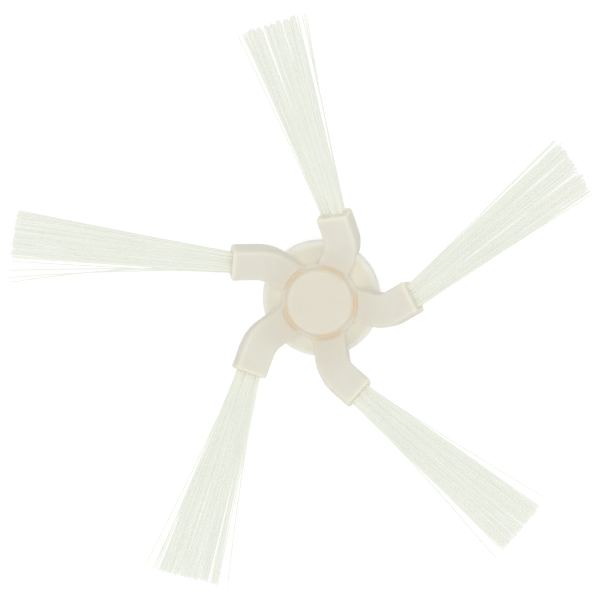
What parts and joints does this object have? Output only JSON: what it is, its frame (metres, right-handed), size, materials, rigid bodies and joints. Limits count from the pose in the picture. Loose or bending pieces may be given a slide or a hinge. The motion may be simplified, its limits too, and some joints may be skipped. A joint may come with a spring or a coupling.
{
  "type": "robot vacuum side brush",
  "caption": "Pinwheel side brush: soft moulded hub with bent, rising arms that hold fanned nylon bristle tufts and sweep debris towards a robot vacuum's inlet.",
  "frame": {"origin": "on the spin axis at the mouth of the drive socket, in the plane of the boss's end face", "axes": "+Z along the spin axis from the motor side to the capped side, +X along the root of the first arm"},
  "size_m": [0.1461, 0.1518, 0.0331],
  "materials": {
    "elastomer": "satin, translucent cream thermoplastic elastomer",
    "nylon": "translucent whitish monofilament"
  },
  "bodies": {
    "root": {"hub": "elastomer", "tuft_1": "nylon", "tuft_2": "nylon", "tuft_3": "nylon", "tuft_4": "nylon", "tuft_5": "nylon"}
  },
  "joints": []
}
